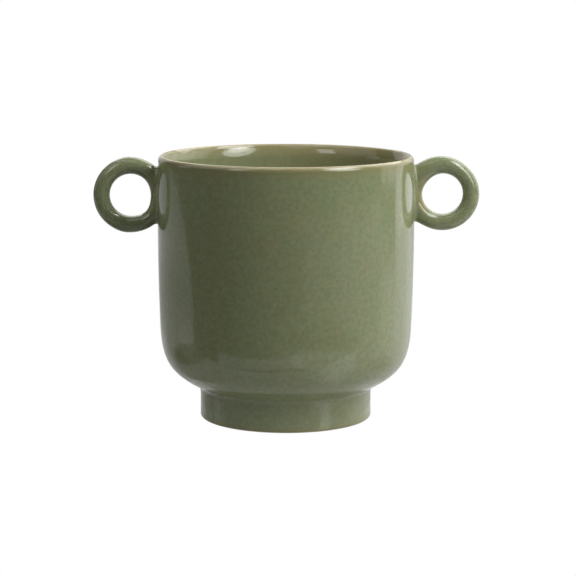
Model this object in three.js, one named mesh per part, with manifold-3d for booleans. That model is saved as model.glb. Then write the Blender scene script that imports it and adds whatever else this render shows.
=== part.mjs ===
// Ceramic planter: a nearly straight-sided pot on a foot ring, with a ring handle on each side.
// Sizes are in millimetres and angles in degrees. +Z is up. The origin is the middle of the
// circle that the foot stands on. The handles stand out along X, and the front looks along -Y.
//
// The pot is put together from four pieces of clay, as a potter would before the glaze goes on:
// the body, the foot ring under it, and two rings whose roots are shaped to the curved wall.

import * as THREE from "three";
import { mergeVertices } from "three/addons/utils/BufferGeometryUtils.js";
import Module from "manifold-3d";

// Driving dimensions of the pot body
const potHeight = 154.2;
const wallThickness = 5.2;
// The wall is widest at this height, and draws in above and below it along an arc.
const widestRadius = 74.8;
const widestHeight = 112.7;
const wallSweepRadius = 1550;
// The belly starts at this height. Its curve keeps the wall's direction for about bellyPullDown,
// and comes in to the foot at bellySlope above the level, which it keeps for about bellyPullIn.
const bellyTopHeight = 54.3;
const bellyPullDown = 24.2;
const bellyPullIn = 15.9;
const bellySlope = 30.5;
const floorThickness = 6;
const floorFillet = 8;
// The lip is an outer arc that turns up by lipOuterTurn, a tight arc over the crest, and a wide
// inner arc that turns down by lipInnerTurn to the inner face.
const lipOuterRounding = 4;
const lipOuterTurn = 52.5;
const lipCrestRounding = 1;
const lipInnerTurn = 35;

// Driving dimensions of the foot ring
const footRadius = 50.1;
// The foot is a little wider at its neck, under the hollow fillet that leads into the belly.
const footFlare = 0.5;
const footNeckHeight = 17.3;
const footNeckFillet = 1.6;
const footThickness = 6.5;
const footOuterRounding = 1.8;
const footInnerRounding = 1;

// Driving dimensions of the ring handles
const ringRadius = 16.9;
const ringTubeRadius = 4.8;
// The top of the ring lies this far below the crest of the lip.
const ringTopDrop = 1.2;
// Clay between the wall and the finger hole, at the ring's mid height.
const ringBand = 4;
// The root spreads along the wall by this fillet, and ends in an edge of this thickness.
const rootFillet = 1.5;
const rootEdge = 0.3;

// Thickness of the slip that joins a root to the wall.
const slipGap = 0.3;

// Facets
const turnSegments = 72;
const bellySegments = 12;
const wallSegments = 4;
const lipOuterSegments = 4;
const lipCrestSegments = 2;
const lipInnerSegments = 4;
const filletSegments = 4;
const roundingSegments = 3;
const ringSegments = 48;
const tubeSegments = 20;
const rootSegments = 12;

// Sizes that follow from the driving dimensions
const outerTurn = THREE.MathUtils.degToRad(lipOuterTurn);
const innerTurn = THREE.MathUtils.degToRad(lipInnerTurn);
const lipCrestCentreHeight = potHeight - lipCrestRounding;
const lipSpringHeight = lipCrestCentreHeight - (lipOuterRounding - lipCrestRounding) * Math.sin(outerTurn);
const slope = THREE.MathUtils.degToRad(bellySlope);
const neckRadius = footRadius + footFlare;
const seatRadius = neckRadius + footNeckFillet * (1 - Math.sin(slope));
const seatHeight = footNeckHeight + footNeckFillet * Math.cos(slope);
const floorHeight = seatHeight + floorThickness;
const ringHeight = potHeight - ringTopDrop - ringTubeRadius - ringRadius;
const ringReach = wallRadiusAt(ringHeight) + ringBand + ringRadius - ringTubeRadius;

const rightAngle = Math.PI / 2;

const wasm = await Module();
wasm.setup();

// Radius of the outside of the wall, at a height between the belly and the lip.
function wallRadiusAt(height) {
  return widestRadius - wallSweepRadius + Math.sqrt(wallSweepRadius ** 2 - (height - widestHeight) ** 2);
}

// Points of an arc in the profile plane, both ends included.
function arcPoints(centre, radius, startAngle, endAngle, segments) {
  const points = [];
  for (let step = 0; step <= segments; step += 1) {
    const angle = THREE.MathUtils.lerp(startAngle, endAngle, step / segments);
    points.push(new THREE.Vector2(
      centre.x + radius * Math.cos(angle),
      centre.y + radius * Math.sin(angle),
    ));
  }
  return points;
}

// The outside of the belly, from the foot's seat up to the wall.
function bellyCurve() {
  const start = new THREE.Vector2(seatRadius, seatHeight);
  const end = new THREE.Vector2(wallRadiusAt(bellyTopHeight), bellyTopHeight);
  const drop = widestHeight - bellyTopHeight;
  const wallDirection = new THREE.Vector2(drop, Math.sqrt(wallSweepRadius ** 2 - drop ** 2)).normalize();
  const footDirection = new THREE.Vector2(Math.cos(slope), Math.sin(slope));
  return new THREE.CubicBezierCurve(
    start,
    start.clone().addScaledVector(footDirection, bellyPullIn),
    end.clone().addScaledVector(wallDirection, -bellyPullDown),
    end,
  );
}

// A point that lies a distance inside a curve that runs upwards.
function insetPoint(curve, t, distance) {
  const tangent = curve.getTangent(t);
  return curve.getPoint(t).add(new THREE.Vector2(-tangent.y, tangent.x).multiplyScalar(distance));
}

// Where a curve that is inset by a distance reaches a height.
function whereInsetReaches(curve, distance, height) {
  const halvings = 40;
  let low = 0;
  let high = 1;
  for (let step = 0; step < halvings; step += 1) {
    const middle = (low + high) / 2;
    if (insetPoint(curve, middle, distance).y < height) low = middle;
    else high = middle;
  }
  return low;
}

// Over the lip, from the outside of the wall to the inside. Each arc leaves the one before it in
// the same direction, and the inner one is as wide as the wall's thickness asks for.
function lipProfile() {
  const outerCentre = new THREE.Vector2(wallRadiusAt(lipSpringHeight) - lipOuterRounding, lipSpringHeight);
  const crestCentre = new THREE.Vector2(
    outerCentre.x + (lipOuterRounding - lipCrestRounding) * Math.cos(outerTurn),
    lipCrestCentreHeight,
  );
  const innerRadius = wallRadiusAt(lipSpringHeight) - wallThickness;
  const innerWidth = crestCentre.x - lipCrestRounding * Math.cos(innerTurn) - innerRadius;
  const innerRounding = innerWidth / (1 - Math.cos(innerTurn));
  const innerCentre = new THREE.Vector2(
    innerRadius + innerRounding,
    crestCentre.y - (innerRounding - lipCrestRounding) * Math.sin(innerTurn),
  );
  const innerStart = Math.PI - innerTurn;
  return [
    ...arcPoints(outerCentre, lipOuterRounding, 0, outerTurn, lipOuterSegments),
    ...arcPoints(crestCentre, lipCrestRounding, outerTurn, rightAngle, lipCrestSegments).slice(1),
    ...arcPoints(crestCentre, lipCrestRounding, rightAngle, innerStart, lipCrestSegments).slice(1),
    ...arcPoints(innerCentre, innerRounding, innerStart, Math.PI, lipInnerSegments).slice(1),
  ];
}

// The body's profile: under the floor, up the outside, over the lip, down the inside, and in.
function bodyProfile() {
  const belly = bellyCurve();
  const profile = [new THREE.Vector2(0, seatHeight), ...belly.getPoints(bellySegments)];

  for (let step = 1; step < wallSegments; step += 1) {
    const height = THREE.MathUtils.lerp(bellyTopHeight, lipSpringHeight, step / wallSegments);
    profile.push(new THREE.Vector2(wallRadiusAt(height), height));
  }

  profile.push(...lipProfile());
  const innerTop = profile.at(-1).y;
  for (let step = wallSegments - 1; step > 0; step -= 1) {
    const height = THREE.MathUtils.lerp(bellyTopHeight, innerTop, step / wallSegments);
    profile.push(new THREE.Vector2(wallRadiusAt(height) - wallThickness, height));
  }

  // The wall keeps its thickness round the belly, down to a fillet that leads on to the floor.
  const filletHeight = floorHeight + floorFillet;
  const filletStart = whereInsetReaches(belly, wallThickness + floorFillet, filletHeight);
  for (let step = 0; step < bellySegments; step += 1) {
    const t = THREE.MathUtils.lerp(1, filletStart, step / bellySegments);
    profile.push(insetPoint(belly, t, wallThickness));
  }
  const filletCentre = insetPoint(belly, filletStart, wallThickness + floorFillet);
  const filletEnd = belly.getTangent(filletStart).angle() - rightAngle;
  profile.push(...arcPoints(filletCentre, floorFillet, filletEnd, -rightAngle, filletSegments));
  profile.push(new THREE.Vector2(0, floorHeight));
  return profile;
}

// The foot ring's profile: round its standing edge, up the outside, the neck fillet, the flat
// seat under the body, and down the inside.
function footProfile() {
  const outerEdge = new THREE.Vector2(footRadius - footOuterRounding, footOuterRounding);
  const innerEdge = new THREE.Vector2(footRadius - footThickness + footInnerRounding, footInnerRounding);
  const neck = new THREE.Vector2(neckRadius + footNeckFillet, footNeckHeight);
  const profile = [
    ...arcPoints(outerEdge, footOuterRounding, -rightAngle, 0, roundingSegments),
    ...arcPoints(neck, footNeckFillet, Math.PI, rightAngle + slope, filletSegments),
    new THREE.Vector2(neckRadius - footThickness, seatHeight),
    ...arcPoints(innerEdge, footInnerRounding, Math.PI, Math.PI + rightAngle, roundingSegments),
  ];
  profile.push(profile[0].clone());
  return profile;
}

// A profile turned about the upright axis.
function turned(profile) {
  return new THREE.LatheGeometry(profile, turnSegments).rotateX(rightAngle);
}

// A closed mesh through rows of points, each row closed on itself, with a fan over each end.
function lofted(rows) {
  const count = rows[0].length;
  const positions = [];
  for (const row of rows) {
    for (const point of row) positions.push(point.x, point.y, point.z);
  }
  const triangles = [];
  for (let row = 0; row < rows.length - 1; row += 1) {
    for (let index = 0; index < count; index += 1) {
      const next = (index + 1) % count;
      const here = row * count;
      const beyond = here + count;
      triangles.push(here + index, beyond + index, beyond + next);
      triangles.push(here + index, beyond + next, here + next);
    }
  }
  for (const end of [0, rows.length - 1]) {
    const middle = new THREE.Vector3();
    for (const point of rows[end]) middle.addScaledVector(point, 1 / count);
    const centre = positions.length / 3;
    positions.push(middle.x, middle.y, middle.z);
    for (let index = 0; index < count; index += 1) {
      const here = end * count + index;
      const next = end * count + (index + 1) % count;
      if (end === 0) triangles.push(centre, here, next);
      else triangles.push(centre, next, here);
    }
  }
  const geometry = new THREE.BufferGeometry();
  geometry.setAttribute("position", new THREE.Float32BufferAttribute(positions, 3));
  geometry.setIndex(triangles);
  return geometry;
}

// The closed line on the ring's surface that stands a distance off the wall, moved outwards
// along the wall by spread. The ring's middle is the origin and the pot's axis is at -ringReach.
function meetingLine(distance, spread) {
  const fromAxis = wallRadiusAt(ringHeight) + distance;
  const tubeFromAxis = ringReach - ringRadius;
  const levelCrossing = (tubeFromAxis ** 2 + fromAxis ** 2 - ringTubeRadius ** 2) / (2 * tubeFromAxis);
  const widest = Math.acos((tubeFromAxis - levelCrossing) / ringTubeRadius);
  const line = [];
  for (const half of [1, -1]) {
    for (let step = 0; step < rootSegments; step += 1) {
      const angle = half * THREE.MathUtils.lerp(-widest, widest, step / rootSegments);
      const fromMiddle = ringRadius + ringTubeRadius * Math.cos(angle);
      const side = ringTubeRadius * Math.sin(angle);
      const inward = ringReach - Math.sqrt(fromAxis ** 2 - side ** 2);
      const height = half * Math.sqrt(Math.max(0, fromMiddle ** 2 - inward ** 2));
      const outward = new THREE.Vector2(side, (fromMiddle - ringRadius) * height / fromMiddle).normalize();
      const spreadSide = side + outward.x * spread;
      const spreadHeight = height + outward.y * spread;
      const along = Math.sqrt(fromAxis ** 2 - spreadSide ** 2) - ringReach;
      line.push(new THREE.Vector3(along, spreadSide, spreadHeight));
    }
  }
  return line;
}

// The flared root: its edge on the wall, the hollow fillet, and an end tucked into the ring.
function flaredRoot() {
  const filletFoot = slipGap + rootEdge;
  const tuck = rootEdge;
  const rows = [meetingLine(-slipGap, rootFillet)];
  for (let step = 0; step <= filletSegments; step += 1) {
    const angle = rightAngle * step / filletSegments;
    const rise = filletFoot + rootFillet * (1 - Math.cos(angle));
    rows.push(meetingLine(rise, rootFillet * (1 - Math.sin(angle))));
  }
  rows.push(meetingLine(filletFoot + rootFillet + tuck, -tuck));
  return lofted(rows);
}

// The outside of the wall with the slip on it, filled to the axis, as the root is cut to it.
function slippedWall() {
  const profile = [new THREE.Vector2(0, bellyTopHeight)];
  for (let step = 0; step <= wallSegments; step += 1) {
    const height = THREE.MathUtils.lerp(bellyTopHeight, lipSpringHeight, step / wallSegments);
    profile.push(new THREE.Vector2(wallRadiusAt(height) + slipGap, height));
  }
  profile.push(new THREE.Vector2(0, lipSpringHeight));
  return turned(profile);
}

// A solid for cutting and joining, from a closed mesh.
function solidFrom(geometry) {
  geometry.deleteAttribute("normal");
  geometry.deleteAttribute("uv");
  const merged = mergeVertices(geometry);
  const corners = Array.from(merged.index.array);
  const kept = [];
  for (let first = 0; first < corners.length; first += 3) {
    const triangle = corners.slice(first, first + 3);
    if (new Set(triangle).size === 3) kept.push(...triangle);
  }
  return new wasm.Manifold(new wasm.Mesh({
    numProp: 3,
    vertProperties: new Float32Array(merged.attributes.position.array),
    triVerts: new Uint32Array(kept),
  }));
}

function geometryFrom(solid) {
  const { vertProperties, triVerts } = solid.getMesh();
  const geometry = new THREE.BufferGeometry();
  geometry.setAttribute("position", new THREE.Float32BufferAttribute(vertProperties, 3));
  geometry.setIndex(Array.from(triVerts));
  geometry.computeVertexNormals();
  return geometry;
}

// A ring handle, round its own middle: the ring and its flared root, cut to the slipped wall.
function ringHandle() {
  const torus = new THREE.TorusGeometry(ringRadius, ringTubeRadius, tubeSegments, ringSegments);
  const ring = solidFrom(torus.rotateX(rightAngle));
  const root = solidFrom(flaredRoot());
  const wall = solidFrom(slippedWall().translate(-ringReach, 0, -ringHeight));
  return geometryFrom(ring.add(root).subtract(wall));
}

function piece(name, geometry, material) {
  const mesh = new THREE.Mesh(geometry, material);
  mesh.name = name;
  return mesh;
}

// Glossy green glaze over stoneware. It lies a little thinner, and so lighter, on the rings.
const bodyGlaze = new THREE.MeshStandardMaterial({ color: 0x6f7757, roughness: 0.15, metalness: 0 });
const footGlaze = new THREE.MeshStandardMaterial({ color: 0x6c7355, roughness: 0.18, metalness: 0 });
const ringGlaze = new THREE.MeshStandardMaterial({ color: 0x757d5d, roughness: 0.15, metalness: 0 });

const planter = new THREE.Group();
planter.add(piece("pot_body", turned(bodyProfile()), bodyGlaze));
planter.add(piece("foot_ring", turned(footProfile()), footGlaze));

for (const [name, turn] of [["right_ring_handle", 0], ["left_ring_handle", Math.PI]]) {
  const side = new THREE.Group();
  side.rotation.z = turn;
  const handle = piece(name, ringHandle(), ringGlaze);
  handle.position.set(ringReach, 0, ringHeight);
  side.add(handle);
  planter.add(side);
}

export default planter;
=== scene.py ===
# %% [markdown]
# # A glazed stoneware planter with two ring handles
#
# The real planter is four pieces of clay under one coat of glaze: a turned pot, the foot ring
# that it stands on, and a ring on each side that serves as a loop for a finger. This lesson
# builds each piece smooth, lays the same glaze over all of them, and lights them as a catalogue
# picture would be lit.
#
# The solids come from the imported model. They have the right sizes but flat facets, which a glossy
# glaze would show at once, so each solid is replaced by a smooth piece of nearly the same size.

# %% Load the solids
import math

import bmesh
import bpy
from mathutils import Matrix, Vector


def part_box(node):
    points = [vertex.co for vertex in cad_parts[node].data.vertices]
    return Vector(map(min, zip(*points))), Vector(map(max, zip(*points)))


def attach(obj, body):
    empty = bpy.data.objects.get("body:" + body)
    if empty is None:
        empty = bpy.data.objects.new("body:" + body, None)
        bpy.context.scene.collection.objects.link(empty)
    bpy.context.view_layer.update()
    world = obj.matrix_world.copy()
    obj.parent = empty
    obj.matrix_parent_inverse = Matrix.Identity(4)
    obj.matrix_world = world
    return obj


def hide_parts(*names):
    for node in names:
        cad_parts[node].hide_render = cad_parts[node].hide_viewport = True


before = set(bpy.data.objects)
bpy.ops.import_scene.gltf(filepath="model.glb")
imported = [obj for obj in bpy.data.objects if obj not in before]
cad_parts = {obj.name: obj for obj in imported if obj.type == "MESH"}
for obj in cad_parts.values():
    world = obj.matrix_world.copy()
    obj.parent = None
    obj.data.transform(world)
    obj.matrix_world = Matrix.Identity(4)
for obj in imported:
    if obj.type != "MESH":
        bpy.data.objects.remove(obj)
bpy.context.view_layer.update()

MM = 0.001
for node in sorted(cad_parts):
    low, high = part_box(node)
    print(node, "is", [round(size / MM, 1) for size in high - low], "mm")

# %% [markdown]
# ## Sizes
#
# Everything is measured from the solids where they can tell it. What a box can't tell, such as
# how the belly curves, is a named size in millimetres. Most are the same as in the solids. The
# lip's outer arc, the side of the foot and the fillets at the joins differ by up to 2 mm, as slip,
# glaze and a potter's hand leave them.

# %% Sizes of the pot
POT_LOW, POT_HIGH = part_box("pot_body")
POT_HEIGHT = POT_HIGH.z
SEAT_HEIGHT = POT_LOW.z
WALL = 5.2 * MM
WIDEST_RADIUS = 74.8 * MM
WIDEST_HEIGHT = 112.7 * MM
WALL_SWEEP = 1550 * MM
BELLY_TOP = 54.3 * MM
BELLY_PULL_DOWN = 24.2 * MM
BELLY_PULL_IN = 15.9 * MM
BELLY_SLOPE = math.radians(30.5)
FLOOR = 6 * MM
FLOOR_FILLET = 8 * MM
FLOOR_HEIGHT = SEAT_HEIGHT + FLOOR

# The lip is an outer arc, a tight arc over the crest and a wide inner arc. Turns are in degrees.
LIP_OUTER = 3.4 * MM
LIP_OUTER_TURN = 52.5
LIP_CREST = 1 * MM
LIP_INNER_TURN = 35
LIP_SPRING = POT_HEIGHT - LIP_CREST - (LIP_OUTER - LIP_CREST) * math.sin(math.radians(LIP_OUTER_TURN))
print("lip starts", round(LIP_SPRING / MM, 2), "mm up")

# %% Sizes of the foot ring
FOOT_RADIUS = 50.25 * MM
FOOT_FLARE = 0.35 * MM
FLARE_TURN = 9.5
SEAT_FILLET = 1.6 * MM
NECK_FILLET = 3.6 * MM
NECK_DIP = 0.12 * MM
FOOT_WALL = 6.5 * MM
FOOT_OUTER_ROUNDING = 1.8 * MM
FOOT_INNER_ROUNDING = 1 * MM

NECK_RADIUS = FOOT_RADIUS + FOOT_FLARE
SEAT_RADIUS = NECK_RADIUS + SEAT_FILLET * (1 - math.sin(BELLY_SLOPE))

# %% Sizes of the ring handles
RING_LOW, RING_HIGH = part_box("right_ring_handle")
RING_RADIUS = 16.9 * MM
ROD_RADIUS = 4.8 * MM
RING_CENTRE = Vector((RING_HIGH.x - RING_RADIUS - ROD_RADIUS, 0, (RING_LOW.z + RING_HIGH.z) / 2))
ROOT_FILLET = 2.8 * MM

print("ring centre is", round(RING_CENTRE.x / MM, 2), "mm out and", round(RING_CENTRE.z / MM, 2), "mm up")

# %% [markdown]
# ## Turned outlines
#
# A pot is made on a wheel, so its whole shape is in one outline that is turned about the upright
# axis. A Screw modifier or a lathe of loops would do it too. Here the outline is a chain of a few
# arcs and one Bezier curve, and the bmesh spin operator carries it round, because that keeps
# exact control of each radius, which the reflections show.

# %% Points of an outline
SHORT_ARC_STEPS = 8
ARC_STEPS = 12
LONG_ARC_STEPS = 16
WALL_STEPS = 24
INNER_BELLY_STEPS = 32
BELLY_STEPS = 48


def arc(centre, radius, start, end, steps):
    """Points of an arc, as (radius, height) pairs. Angles are in degrees, 0 points outwards."""
    points = []
    for step in range(steps + 1):
        angle = math.radians(start + (end - start) * step / steps)
        points.append(Vector((centre[0] + radius * math.cos(angle), centre[1] + radius * math.sin(angle))))
    return points


def wall_radius(height):
    """Outside radius of the wall, which draws in a little above and below its widest place."""
    away = height - WIDEST_HEIGHT
    return WIDEST_RADIUS - WALL_SWEEP + math.sqrt(WALL_SWEEP ** 2 - away ** 2)


def wall_points(low, high, steps, inset=0):
    """Points up the wall, a distance inside its outer face."""
    heights = [low + (high - low) * step / steps for step in range(steps + 1)]
    return [Vector((wall_radius(height) - inset, height)) for height in heights]


# %% The curve of the belly
def belly_point(t, inset=0):
    """A point of the belly's Bezier curve, 0 at the foot and 1 at the wall, moved inwards by inset."""
    drop = WIDEST_HEIGHT - BELLY_TOP
    up_the_wall = Vector((drop, math.sqrt(WALL_SWEEP ** 2 - drop ** 2))).normalized()
    off_the_foot = Vector((math.cos(BELLY_SLOPE), math.sin(BELLY_SLOPE)))
    foot_end = Vector((SEAT_RADIUS, SEAT_HEIGHT))
    wall_end = Vector((wall_radius(BELLY_TOP), BELLY_TOP))
    knots = [
        foot_end,
        foot_end + BELLY_PULL_IN * off_the_foot,
        wall_end - BELLY_PULL_DOWN * up_the_wall,
        wall_end,
    ]
    weights = [(1 - t) ** 3, 3 * (1 - t) ** 2 * t, 3 * (1 - t) * t ** 2, t ** 3]
    slopes = [3 * (1 - t) ** 2, 6 * (1 - t) * t, 3 * t ** 2]
    point = sum((weight * knot for weight, knot in zip(weights, knots)), Vector((0, 0)))
    along = sum((slope * (b - a) for slope, a, b in zip(slopes, knots, knots[1:])), Vector((0, 0)))
    inwards = Vector((-along.y, along.x)).normalized()
    return point + inset * inwards, inwards


def belly_points(start, end, steps, inset=0):
    return [belly_point(start + (end - start) * step / steps, inset)[0] for step in range(steps + 1)]


print("belly is", round(belly_point(0.5)[0].x / MM, 1), "mm in radius half way along its curve")

# %% Turn an outline
TURN_STEPS = 256
MERGE = 0.001 * MM
TURNED_CREASE = 25


def smooth_piece(mesh, name, replaced, crease):
    """Makes an object of a finished bmesh, smooth apart from edges that turn by more than crease."""
    bmesh.ops.remove_doubles(mesh, verts=mesh.verts, dist=MERGE)
    bmesh.ops.recalc_face_normals(mesh, faces=mesh.faces)
    for face in mesh.faces:
        face.smooth = True
    for edge in mesh.edges:
        edge.smooth = edge.is_manifold and edge.calc_face_angle() < math.radians(crease)
    open_edges = sum(not edge.is_manifold for edge in mesh.edges)
    triangles = sum(len(face.verts) - 2 for face in mesh.faces)
    print(name, "has", triangles, "triangles and", open_edges, "open edges")
    data = bpy.data.meshes.new(name)
    mesh.to_mesh(data)
    mesh.free()
    piece = bpy.data.objects.new(name, data)
    bpy.context.scene.collection.objects.link(piece)
    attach(piece, "root")
    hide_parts(replaced)
    return piece


def turned(outline):
    """Spins an outline of (radius, height) points once round the upright axis."""
    mesh = bmesh.new()
    corners = [mesh.verts.new((point[0], 0, point[1])) for point in outline]
    edges = [mesh.edges.new(pair) for pair in zip(corners, corners[1:])]
    bmesh.ops.spin(
        mesh, geom=corners + edges, cent=(0, 0, 0), axis=(0, 0, 1),
        angle=math.tau, steps=TURN_STEPS, use_merge=True,
    )
    return mesh


# %% [markdown]
# ## The pot
#
# The pot has a nearly straight wall, a rounded belly and a lip of three arcs, the tightest over
# the crest. Its outline runs under the floor, up the outside, over the lip and down the inside to
# the flat inner floor. The belly is one Bezier curve, because a real thrown belly has no point
# where one arc ends and the next begins, and a glossy glaze shows such a point as a kink in every
# reflection.

# %% Outline of the pot
HALVINGS = 40


def along_the_belly(before):
    """How far along the belly before(t) stops being true, found by halving."""
    low, high = 0.0, 1.0
    for _ in range(HALVINGS):
        middle = (low + high) / 2
        if before(middle):
            low = middle
        else:
            high = middle
    return low


def lip_points():
    """Over the lip, from the outside of the wall to the inside, in three arcs that flow on."""
    out, down = math.radians(LIP_OUTER_TURN), math.radians(LIP_INNER_TURN)
    outer = Vector((wall_radius(LIP_SPRING) - LIP_OUTER, LIP_SPRING))
    crest = outer + (LIP_OUTER - LIP_CREST) * Vector((math.cos(out), math.sin(out)))
    inner_wall = wall_radius(LIP_SPRING) - WALL
    rounding = (crest.x - LIP_CREST * math.cos(down) - inner_wall) / (1 - math.cos(down))
    inner = crest + (rounding - LIP_CREST) * Vector((math.cos(down), -math.sin(down)))
    print("lip is rounded by", round(rounding / MM, 2), "mm inside")
    points = arc(outer, LIP_OUTER, 0, LIP_OUTER_TURN, ARC_STEPS)[1:]
    points += arc(crest, LIP_CREST, LIP_OUTER_TURN, 180 - LIP_INNER_TURN, ARC_STEPS)[1:]
    return points + arc(inner, rounding, 180 - LIP_INNER_TURN, 180, LONG_ARC_STEPS)[1:]


FILLET_INSET = WALL + FLOOR_FILLET
fillet_start = along_the_belly(lambda t: belly_point(t, FILLET_INSET)[0].y < FLOOR_HEIGHT + FLOOR_FILLET)
fillet_centre, inwards = belly_point(fillet_start, FILLET_INSET)
outwards_angle = math.degrees(math.atan2(-inwards.y, -inwards.x))

pot_outline = [Vector((0, SEAT_HEIGHT))]
pot_outline += belly_points(0, 1, BELLY_STEPS)
pot_outline += wall_points(BELLY_TOP, LIP_SPRING, WALL_STEPS)[1:]
pot_outline += lip_points()
pot_outline += wall_points(pot_outline[-1].y, BELLY_TOP, WALL_STEPS, WALL)[1:]
pot_outline += belly_points(1, fillet_start, INNER_BELLY_STEPS, WALL)[1:]
pot_outline += arc(fillet_centre, FLOOR_FILLET, outwards_angle, -90, ARC_STEPS)[1:]
pot_outline += [Vector((0, FLOOR_HEIGHT))]
print("pot outline has", len(pot_outline), "points, floor starts at", round(fillet_centre.x / MM, 1), "mm")

# %% Turn the pot
glazed_pot = smooth_piece(turned(pot_outline), "glazed_pot", "pot_body", TURNED_CREASE)

# %% [markdown]
# ## The foot ring
#
# The foot ring is turned too. Its standing edge is rounded on both sides, because a sharp foot
# would chip and scratch. Its side is upright and flares only near the top, where a hollow fillet
# leads from the neck into the belly. Slip and glaze fill that corner further than the bare clay
# would, so the fillet laps a little way up the belly. It dips into the belly at a slight angle,
# which draws the fine line where the two pieces meet.

# %% Outline and turning of the foot ring
standing_edge = (FOOT_RADIUS - FOOT_OUTER_ROUNDING, FOOT_OUTER_ROUNDING)
foot_outline = arc(standing_edge, FOOT_OUTER_ROUNDING, -90, 0, ARC_STEPS)
flare_way = Vector((math.cos(math.radians(FLARE_TURN)), -math.sin(math.radians(FLARE_TURN))))
lap_radius = NECK_RADIUS + NECK_FILLET * flare_way.x
lap = along_the_belly(lambda t: belly_point(t, -NECK_FILLET)[0].x < lap_radius)
neck_centre, inwards = belly_point(lap, NECK_DIP - NECK_FILLET)
flare_radius = FOOT_FLARE / (1 - flare_way.x)
flare_centre = neck_centre + flare_way * (flare_radius - NECK_FILLET)
foot_outline += arc(flare_centre, flare_radius, 180, 180 - FLARE_TURN, ARC_STEPS)
lap_angle = math.degrees(math.atan2(inwards.y, inwards.x))
foot_outline += arc(neck_centre, NECK_FILLET, 180 - FLARE_TURN, lap_angle, LONG_ARC_STEPS)[1:]
print("flare starts", round(flare_centre.y / MM, 1), "mm up, fillet ends", round(foot_outline[-1].y / MM, 1))
foot_outline += [Vector((NECK_RADIUS - FOOT_WALL, SEAT_HEIGHT))]
inner_edge = (FOOT_RADIUS - FOOT_WALL + FOOT_INNER_ROUNDING, FOOT_INNER_ROUNDING)
foot_outline += arc(inner_edge, FOOT_INNER_ROUNDING, 180, 270, SHORT_ARC_STEPS)
foot_outline += [foot_outline[0]]

glazed_foot = smooth_piece(turned(foot_outline), "glazed_foot", "foot_ring", TURNED_CREASE)

# %% [markdown]
# ## The ring handles
#
# Each handle is a coil of clay bent to a ring and pressed on to the wall, so that the rod sinks
# into the wall along about a quarter of its length and a little clay is smoothed out round the
# join. A torus primitive would give the ring but not the join, and a boolean with a bevel is
# fragile on such a long shallow crossing. So the ring is spun from a circle, and its points near
# the wall are then slid along the ring and spread over the wall to make a hollow fillet.

# %% Spin a ring
RING_STEPS = 320
ROD_STEPS = 120


def ring(centre, radius):
    """A plain ring in the plane of the handle, on the right of the pot."""
    mesh = bmesh.new()
    bmesh.ops.create_circle(mesh, segments=ROD_STEPS, radius=ROD_RADIUS)
    bmesh.ops.translate(mesh, verts=mesh.verts, vec=centre + Vector((radius, 0, 0)))
    bmesh.ops.spin(
        mesh, geom=mesh.verts[:] + mesh.edges[:], cent=centre, axis=(0, 1, 0),
        angle=math.tau, steps=RING_STEPS, use_merge=True,
    )
    return mesh


# %% Measure from the wall and from the ring
SLIDES = 12
SQUARE_ON = 0.05


def off_the_wall(point):
    """How far a point is outside the wall."""
    return math.hypot(point.x, point.y) - wall_radius(point.z)


def on_the_ring(point, centre, radius):
    """The nearest point of the ring's surface, and the direction that the surface faces there."""
    from_centre = point - centre
    rod_line = Vector((from_centre.x, 0, from_centre.z)).normalized() * radius
    facing = (from_centre - rod_line).normalized()
    return centre + rod_line + facing * ROD_RADIUS, facing


def slid(point, distance, centre, radius):
    """The point moved along the ring's surface until it is that distance off the wall.

    Where the surface faces the wall almost squarely no slide helps, and the point stays.
    """
    for _ in range(SLIDES):
        place, facing = on_the_ring(point, centre, radius)
        outwards = Vector((place.x, place.y, 0)).normalized()
        along = outwards - outwards.dot(facing) * facing
        if along.length < SQUARE_ON:
            return place
        point = place + along * (distance - off_the_wall(place)) / along.length_squared
    return on_the_ring(point, centre, radius)[0]


# %% Shape the join
# The fillet starts with points this far below the wall's face. Deeper ones are tucked under it.
ROOT_BELOW = 0.9 * MM
ROOT_SINK = 0.02 * MM
ROOT_TUCK = 0.8 * MM


def flared(point, centre, radius):
    """Where a point of the plain ring goes, so that the join to the wall is a hollow fillet."""
    height = off_the_wall(point)
    turn = (height + ROOT_BELOW) / (ROOT_FILLET + ROOT_BELOW)
    angle = math.radians(90) * max(turn, 0)
    rise = ROOT_FILLET * (1 - math.cos(angle))
    spread = ROOT_FILLET * (1 - math.sin(angle))
    place = slid(point, rise, centre, radius)
    facing = on_the_ring(place, centre, radius)[1]
    outwards = Vector((place.x, place.y, 0)).normalized()
    sideways = (facing - facing.dot(outwards) * outwards).normalized()
    place = place + sideways * spread
    sunk = min(turn, 0) * ROOT_TUCK - ROOT_SINK * math.cos(angle)
    level = Vector((place.x, place.y, 0)).normalized() * (wall_radius(place.z) + rise + sunk)
    return Vector((level.x, level.y, place.z))


# %% [markdown]
# The rings are rolled and bent by hand, so no two are quite alike. The left one is a little larger
# and lower, and where a thumb pressed the root on, the finger hole is flattened. A dent is a soft
# change on the hole's side of the ring, and a lift one on its outer side, which raises the top of
# the root on the right. Each is a direction from the ring's centre in degrees, an amount in
# millimetres, and a width in degrees. Direction 0 is towards the pot and 90 is up.

# %% Marks of the hand
RIGHT_RING = {
    "out": 0.33 * MM, "up": 0.45 * MM, "radius": 16.65 * MM, "dents": [(45, 0.55, 20)],
    "lifts": [(60, 0.85, 24), (42, 1.2, 9), (142, -0.6, 18), (-44, -0.9, 7)],
}
LEFT_RING = {
    "out": -0.46 * MM, "up": -0.6 * MM, "radius": 17.1 * MM, "dents": [(5, 0.8, 26), (-50, -0.6, 16)],
    "lifts": [(97, 0.42, 14), (-104, -0.28, 10)],
}

# The power by which a mark fades round the rod, from its inner or outer side to front and back
SIDE_FADE = 1.5


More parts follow.
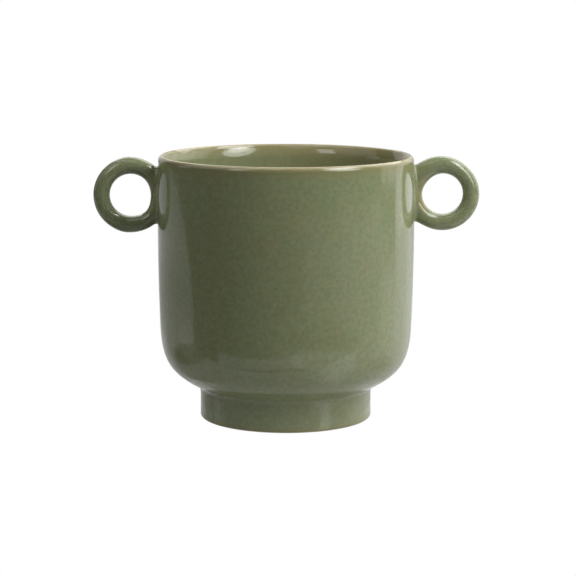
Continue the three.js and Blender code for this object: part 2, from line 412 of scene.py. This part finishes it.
def amount(direction, marks):
    """How much the marks near a direction add up to there."""
    total = 0
    for middle, height, width in marks:
        away = (direction - middle + 180) % 360 - 180
        total += height * math.exp(-0.5 * (away / width) ** 2)
    return total * MM


def by_hand(point, centre, radius, hand):
    """How far the hand's marks move a point of the plain ring, as a dent and a lift."""
    facing = on_the_ring(point, centre, radius)[1]
    to_centre = Vector((centre.x - point.x, 0, centre.z - point.z)).normalized()
    direction = math.degrees(math.atan2(-to_centre.z, to_centre.x))
    inner = max(facing.dot(to_centre), 0) ** SIDE_FADE
    outer = max(-facing.dot(to_centre), 0) ** SIDE_FADE
    dent = to_centre * (amount(direction, hand["dents"]) * inner)
    return dent, Vector((0, 0, amount(direction, hand["lifts"]) * outer))


# %% Make both handles
CUT_INSIDE = 1.5 * MM
RING_CREASE = 40


def ring_handle(name, replaced, side, hand):
    """A ring with its flared root, cut off a little inside the wall. Side is 1 right, -1 left."""
    centre = RING_CENTRE + Vector((hand["out"], 0, hand["up"]))
    radius = hand["radius"]
    mesh = ring(centre, radius)
    for corner in mesh.verts:
        dent, lift = by_hand(corner.co, centre, radius, hand)
        if -2 * ROOT_BELOW < off_the_wall(corner.co) < ROOT_FILLET:
            corner.co = flared(corner.co, centre, radius) + lift
        else:
            corner.co += dent + lift
    cut = wall_radius(RING_CENTRE.z) - CUT_INSIDE
    gone = bmesh.ops.bisect_plane(
        mesh, geom=mesh.verts[:] + mesh.edges[:] + mesh.faces[:], dist=MERGE,
        plane_co=(cut, 0, 0), plane_no=(-1, 0, 0), clear_outer=True,
    )
    rim = [item for item in gone["geom_cut"] if isinstance(item, bmesh.types.BMEdge)]
    bmesh.ops.holes_fill(mesh, edges=rim, sides=0)
    bmesh.ops.scale(mesh, verts=mesh.verts, vec=(side, side, 1))
    return smooth_piece(mesh, name, replaced, RING_CREASE)


right_handle = ring_handle("right_glazed_ring", "right_ring_handle", 1, RIGHT_RING)
left_handle = ring_handle("left_glazed_ring", "left_ring_handle", -1, LEFT_RING)

# %% [markdown]
# ## Shader sums as plain arithmetic
#
# The glaze is painted by nodes. Linking them one by one hides the idea, so a small class wraps an
# output socket: `thin * 0.5 + speck` then adds the Math nodes for that sum by itself.

# %% A socket that can be used in sums
class Wire:
    """An output socket of a node tree, or the bare tree before its first node."""

    def __init__(self, tree, socket=None):
        self.tree = tree
        self.socket = socket

    def node(self, kind, settings=None, sockets=None, output=0):
        """Adds any node: its settings first, then the values or links of its sockets."""
        made = self.tree.nodes.new(kind)
        for name, setting in (settings or {}).items():
            setattr(made, name, setting)
        for name, value in (sockets or {}).items():
            if isinstance(value, Wire):
                self.tree.links.new(value.socket, made.inputs[name])
            else:
                made.inputs[name].default_value = value
        return Wire(self.tree, made.outputs[output] if made.outputs else None)

    def math(self, operation, *values):
        return self.node("ShaderNodeMath", {"operation": operation}, dict(enumerate(values)))

    def __add__(self, other):
        return self.math("ADD", self, other)

    def __radd__(self, other):
        return self.math("ADD", other, self)

    def __sub__(self, other):
        return self.math("SUBTRACT", self, other)

    def __rsub__(self, other):
        return self.math("SUBTRACT", other, self)

    def __mul__(self, other):
        return self.math("MULTIPLY", self, other)

    def __rmul__(self, other):
        return self.math("MULTIPLY", other, self)

    def __pow__(self, other):
        return self.math("POWER", self, other)

    def step(self, start, end):
        """0 at start and 1 at end, with a smooth step between them."""
        sockets = {"Value": self, "From Min": start, "From Max": end}
        return self.node("ShaderNodeMapRange", {"interpolation_type": "SMOOTHSTEP"}, sockets)

    def mix(self, first, second):
        """The first colour where this is 0, the second where it is 1."""
        return self.node("ShaderNodeMix", {"data_type": "RGBA"}, {0: self, 6: first, 7: second}, 2)


# %% [markdown]
# ## The glaze
#
# On the real pot an olive-sage glaze lies thick in the hollows and thin over the edges. Where it
# is thin, the clay shows through: a tan line on the crest of the lip, a browner green just under
# it and down the inside, and a brown edge where each finger hole is next to the pot. The standing
# edge of the foot is wiped to bare clay. The coat is glossy, with a faint mottle of greener and
# browner patches and darker flecks. An image could carry this, but nodes that read Object
# coordinates need no file and run on from one piece to the next without a seam, because all the
# pieces share one frame.

# %% Colours of the glaze
BROWNER = (0.258, 0.273, 0.140, 1)
GREENER = (0.238, 0.284, 0.153, 1)
FLECK = (0.176, 0.194, 0.103, 1)
THIN = (0.250, 0.222, 0.095, 1)
TAN = (0.400, 0.350, 0.200, 1)
CLAY = (0.480, 0.400, 0.270, 1)

# %% Grain and gloss of the glaze
CLOUD_SIZE = 30 * MM
PATCH_SIZE = 9 * MM
FLECK_SIZE = 2.5 * MM
SOFT_EDGE = (0.35, 0.65)
FLECK_EDGE = (0.3, 0.7)
PATCH_SHARE = 0.6
FLECK_DEPTH = 0.6
WAVE_SIZE = 6 * MM
WAVE_DEPTH = 0.008 * MM
GLOSS = 0.1
CLAY_DRYNESS = 0.4
GLAZE_IOR = 1.58


def noise(wire, place, size, detail=2, roughness=0.5):
    """Soft noise about 0.5, with features about as wide as size."""
    sockets = {"Vector": place, "Scale": 1 / size, "Detail": detail, "Roughness": roughness}
    return wire.node("ShaderNodeTexNoise", {}, sockets)


def glaze(name, thinner):
    """The glaze for one piece. thinner lists where it lies thin, as (amount, colour, dryness)."""
    material = bpy.data.materials.new(name)
    material.use_nodes = True
    tree = material.node_tree
    tree.nodes.clear()
    start = Wire(tree)
    place = start.node("ShaderNodeTexCoord", output=3)

    patches = noise(start, place, PATCH_SIZE).step(*SOFT_EDGE)
    clouds = noise(start, place, CLOUD_SIZE).step(*SOFT_EDGE)
    flecks = noise(start, place, FLECK_SIZE, detail=3, roughness=0.7).step(*FLECK_EDGE)
    colour = (patches * PATCH_SHARE + clouds * (1 - PATCH_SHARE)).mix(GREENER, BROWNER)
    colour = (flecks * FLECK_DEPTH).mix(colour, FLECK)
    roughness = GLOSS
    for amount_thin, tint, dryness in thinner(start, place):
        colour = amount_thin.mix(colour, tint)
        if dryness:
            roughness = roughness + dryness * amount_thin

    waves = noise(start, place, WAVE_SIZE, detail=0)
    bump = {"Height": waves, "Strength": 1.0, "Distance": WAVE_DEPTH}
    relief = start.node("ShaderNodeBump", {}, bump)
    sockets = {"Base Color": colour, "Roughness": roughness, "IOR": GLAZE_IOR, "Normal": relief}
    surface = start.node("ShaderNodeBsdfPrincipled", {}, sockets)
    start.node("ShaderNodeOutputMaterial", {}, {"Surface": surface})
    print(name, "has", len(tree.nodes), "nodes")
    return material


# %% [markdown]
# Thin places are bands, each with the distance where it starts and the one where it is full. On the
# lip and the foot a little noise makes their edge ragged, as glaze runs. Inside, the glaze was
# swilled round and poured out, and lies thinner towards the right.

# %% Where the glaze lies thin
RAGGED = 0.5 * MM
LIP_RAGGED_SIZE, FOOT_RAGGED_SIZE = 6 * MM, 4 * MM
LIP_BROWN, LIP_TAN = (10 * MM, 1 * MM), (1.4 * MM, 0.8 * MM)
INSIDE_BAND, INSIDE_RIGHT = (3 * MM, 4.5 * MM), (-40 * MM, 30 * MM)
INSIDE_TAN, RIGHT_TAN, RIGHT_BROWN = 0.06, 0.14, 0.3
FOOT_BROWN, FOOT_TAN, FOOT_CLAY = (4 * MM, 0.6 * MM), (1.1 * MM, 0.5 * MM), (0.5 * MM, 0.2 * MM)
EDGE_BROWN = 0.6
HOLE_BAND, BESIDE_POT = (3.4 * MM, 1.4 * MM), (-8 * MM, -10.5 * MM)
HOLE_BROWN, HOLE_TAN = 0.8, 0.25


def parts_of(place):
    """Radius from the pot's axis, height, and distance to the right."""
    x, y, z = (place.node("ShaderNodeSeparateXYZ", {}, {0: place}, output) for output in range(3))
    return (x * x + y * y) ** 0.5, z, x


def thin_on_pot(start, place):
    radius, height, right = parts_of(place)
    ragged = noise(start, place, LIP_RAGGED_SIZE) - 0.5
    below = POT_HEIGHT - height + ragged * RAGGED
    inside = radius.step(*(WIDEST_RADIUS - depth for depth in INSIDE_BAND))
    inside = inside * height.step(BELLY_TOP, WIDEST_HEIGHT)
    poured_out = inside * right.step(*INSIDE_RIGHT)
    brown = below.step(*LIP_BROWN) * EDGE_BROWN + poured_out * RIGHT_BROWN
    tan = below.step(*LIP_TAN) + inside * INSIDE_TAN + poured_out * RIGHT_TAN
    return [(brown, THIN, 0), (tan, TAN, 0)]


def thin_on_foot(start, place):
    _, height, _ = parts_of(place)
    ragged = noise(start, place, FOOT_RAGGED_SIZE) - 0.5
    edge = height + ragged * RAGGED
    brown = edge.step(*FOOT_BROWN) * EDGE_BROWN
    tan = edge.step(*FOOT_TAN)
    clay = edge.step(*FOOT_CLAY)
    return [(brown, THIN, 0), (tan, TAN, 0), (clay, CLAY, CLAY_DRYNESS)]


def thin_on_rings(start, place):
    radius, height, _ = parts_of(place)
    out, up = radius - RING_CENTRE.x, height - RING_CENTRE.z
    from_hole = (out * out + up * up) ** 0.5 - (RING_RADIUS - ROD_RADIUS)
    brown = from_hole.step(*HOLE_BAND) * out.step(*BESIDE_POT) * HOLE_BROWN
    return [(brown, THIN, 0), (brown * HOLE_TAN, TAN, 0)]


glazed_pot.data.materials.append(glaze("pot_glaze", thin_on_pot))
glazed_foot.data.materials.append(glaze("foot_glaze", thin_on_foot))
ring_glaze = glaze("ring_glaze", thin_on_rings)
right_handle.data.materials.append(ring_glaze)
left_handle.data.materials.append(ring_glaze)

# %% [markdown]
# ## Lights
#
# A glossy glaze mirrors every light, so most of them answer a mark on the real pot. The key is a
# large oval softbox on the right with a hotter middle, and makes the boat-shaped gleam inside the
# back of the rim. The window on the left makes the small square patch beside it. Panels on both
# sides and behind make the pale bands down the edges of the wall, broad ones overhead light the
# lip, and dim ones below the table's front edge light the curve of the belly. The front of the
# room is dark, so the glaze keeps its depth. One picture wrapped round the scene could do the
# same, but named softboxes say where each reflection comes from.

# %% Lights
POT_MIDDLE = Vector((0, 0, 0.08))
LIGHT_DISTANCE = 0.9


def softbox(name, azimuth, elevation, wide, tall, brightness, shape="RECTANGLE"):
    """A soft light that faces the pot, in degrees. Azimuth 0 is the camera's side, 90 the right."""
    around, up = math.radians(azimuth), math.radians(elevation)
    towards = Vector((math.sin(around) * math.cos(up), -math.cos(around) * math.cos(up), math.sin(up)))
    light = bpy.data.lights.new(name, "AREA")
    light.shape = shape
    light.size = 2 * LIGHT_DISTANCE * math.tan(math.radians(wide / 2))
    light.size_y = 2 * LIGHT_DISTANCE * math.tan(math.radians(tall / 2))
    area = light.size * light.size_y * (math.pi / 4 if shape == "ELLIPSE" else 1)
    light.energy = brightness * math.pi * area
    lamp = bpy.data.objects.new(name, light)
    lamp.location = POT_MIDDLE + towards * LIGHT_DISTANCE
    lamp.rotation_mode = "QUATERNION"
    lamp.rotation_quaternion = towards.to_track_quat("Z", "Y")
    bpy.context.scene.collection.objects.link(lamp)
    print(name, "is", round(light.size, 2), "by", round(light.size_y, 2), "m")


# Name, azimuth, elevation, width, height, brightness and, for an oval one, the shape
PANELS = [
    ("key", 53.5, 31, 31, 48, 4.23, "ELLIPSE"),
    ("key_core", 56, 40, 18, 26, 3.48, "ELLIPSE"),
    ("key_right", 72, 55, 26, 18, 5.74),
    ("window", -45, 34.5, 15.5, 21, 2.85),
    ("side", 100, 22, 20, 46, 1.05),
    ("side_back", 119, 15, 18, 40, 1.27),
    ("top_right", 95, 68, 50, 24, 0.21),
    ("top_left", -50, 66, 50, 24, 0.87),
    ("top_back", 168, 50, 76, 40, 2.5),
    ("left", -85, 35, 40, 36, 0.49),
    ("left_low", -100, 9, 18, 12, 0.68),
    ("back_left_far", -170, 10, 20, 30, 0.75),
    ("back_left_near", -149, 16, 22, 26, 0.57),
    ("back_right", 138, 10, 20, 30, 1.09),
    ("back_right_far", 162, 10, 28, 30, 0.61),
    ("low_front", 30, -8, 30, 10, 0.23),
    ("low_right", 68, -8, 44, 12, 0.47),
    ("under_front", -25, -31, 70, 14, 0.42),
    ("under_right", 35, -28, 50, 19, 0.47),
]

for panel in PANELS:
    softbox(*panel)

# %% [markdown]
# ## Room and table
#
# The picture is a cut-out on white, so the camera sees the room and the table as white, while the
# pot sees a dim room and a sheet of pale glossy acrylic. The sheet's front edge is the line where
# the reflections in the belly and the foot end, so most of its corners follow that line. The sheet's
# glow is painted light, as if it were lit from below: a little all over, more close to the foot,
# which lights the neck, and more again far behind on the left. Two soft dark spots beside the foot
# are painted shadows of the pot on the sheet, and so darken the ends of the belly.

# %% Room
def grey(value):
    return (value, value, value, 1)


ROOM_LIGHT = 0.056

world = bpy.data.worlds.new("studio")
bpy.context.scene.world = world
world.use_nodes = True
world.node_tree.nodes.clear()
room = Wire(world.node_tree)
seen = room.node("ShaderNodeLightPath", output=0)
dim = room.node("ShaderNodeBackground", {}, {"Color": grey(1), "Strength": ROOM_LIGHT})
white = room.node("ShaderNodeBackground", {}, {"Color": grey(1), "Strength": 1.0})
both = room.node("ShaderNodeMixShader", {}, {0: seen, 1: dim, 2: white})
room.node("ShaderNodeOutputWorld", {}, {"Surface": both})

# %% Table
TABLE_CORNERS = [
    (-0.1, -0.09), (0, -0.12), (0.3, -0.135), (0.33, -0.05), (0.6, -0.05), (1.4, -0.2),
    (1.4, 1.6), (-1.6, 1.6), (-1.5, 0.55), (-1.2, 0.31), (-1.05, 0.19), (-0.9, 0.11),
    (-0.77, 0.047), (-0.66, 0.005), (-0.5, -0.03), (-0.25, -0.05),
]

table_mesh = bmesh.new()
table_mesh.faces.new([table_mesh.verts.new((x, y, 0)) for x, y in TABLE_CORNERS])
table_data = bpy.data.meshes.new("table")
table_mesh.to_mesh(table_data)
table_mesh.free()
table = bpy.data.objects.new("table", table_data)
bpy.context.scene.collection.objects.link(table)

# %% Painted glow and painted shadows of the table
GLOW = 0.05
FOOT_GLOW = 0.145
FOOT_GLOW_RADIUS = 0.072
FOOT_GLOW_EDGE = 0.003
FAR_GLOW = 0.23
FAR_START, FAR_FULL = 0.45, 0.85
LEFT_START, LEFT_FULL = -0.05, -0.3
# Painted shadows of the pot on the sheet: the centre, radius and depth of each
PAINTED_SHADOWS = [((-0.18, -0.015, 0), 0.065, 0.9), ((0.13, -0.025, 0), 0.035, 0.4)]
PAINTED_SHADOW_EDGE = 0.25
SHEET, PAINTED_SHADOW_GREY = 0.5, 0.05
SHEET_GLOSS = 0.12
SHEET_IOR = 1.6

acrylic = bpy.data.materials.new("acrylic")
acrylic.use_nodes = True
acrylic.node_tree.nodes.clear()
sheet = Wire(acrylic.node_tree)
seen = sheet.node("ShaderNodeLightPath", output=0)
place = sheet.node("ShaderNodeTexCoord", output=3)
clear = 1
# Each painted shadow darkens the sheet's colour and its glow beside the foot
for middle, radius, depth in PAINTED_SHADOWS:
    away = place.node("ShaderNodeVectorMath", {"operation": "DISTANCE"}, {0: place, 1: middle}, 1)
    painted_shadow = away.step(radius * (1 + PAINTED_SHADOW_EDGE), radius * (1 - PAINTED_SHADOW_EDGE)) * depth
    clear = (1 - painted_shadow) * clear
from_foot = place.node("ShaderNodeVectorMath", {"operation": "LENGTH"}, {0: place}, 1)
near_foot = from_foot.step(FOOT_GLOW_RADIUS + FOOT_GLOW_EDGE, FOOT_GLOW_RADIUS - FOOT_GLOW_EDGE)
across = sheet.node("ShaderNodeSeparateXYZ", {}, {0: place})
far_left = from_foot.step(FAR_START, FAR_FULL) * across.step(LEFT_START, LEFT_FULL)
# The glow is painted light: the sheet emits though it is no lamp, most near the foot and far behind on the
# left
glow = clear * GLOW + near_foot * FOOT_GLOW + far_left * FAR_GLOW
sockets = {
    "Base Color": clear.mix(grey(PAINTED_SHADOW_GREY), grey(SHEET)),
    "Roughness": SHEET_GLOSS,
    "IOR": SHEET_IOR,
    "Emission Color": glow.mix(grey(0), grey(1)),
    "Emission Strength": 1.0,
}
top = sheet.node("ShaderNodeBsdfPrincipled", {}, sockets)
bright = sheet.node("ShaderNodeEmission", {}, {"Color": grey(1), "Strength": 1.0})
both = sheet.node("ShaderNodeMixShader", {}, {0: seen, 1: top, 2: bright})
sheet.node("ShaderNodeOutputMaterial", {}, {"Surface": both})
table_data.materials.append(acrylic)
print("the table glows by", GLOW, "and by", round(GLOW + FOOT_GLOW, 3), "close to the foot")

# %% [markdown]
# ## Camera
#
# The view is the photograph's: from the front, about nine degrees above the level, with a long
# lens from more than a metre away.

# %% Camera
LENS = 130.70
SENSOR = 36
PITCH = 9.055
ROLL = -0.1
CAMERA_PLACE = (0.925 * MM, -1211.74 * MM, 269.03 * MM)
NEAR, FAR = 0.01, 50

lens = bpy.data.cameras.new("camera")
lens.sensor_width = SENSOR
lens.lens = LENS
lens.clip_start = NEAR
lens.clip_end = FAR
camera = bpy.data.objects.new("camera", lens)
camera.location = CAMERA_PLACE
camera.rotation_euler = (math.radians(90 - PITCH), math.radians(ROLL), 0)
bpy.context.scene.collection.objects.link(camera)
bpy.context.scene.camera = camera
bpy.context.scene.view_settings.view_transform = "Standard"
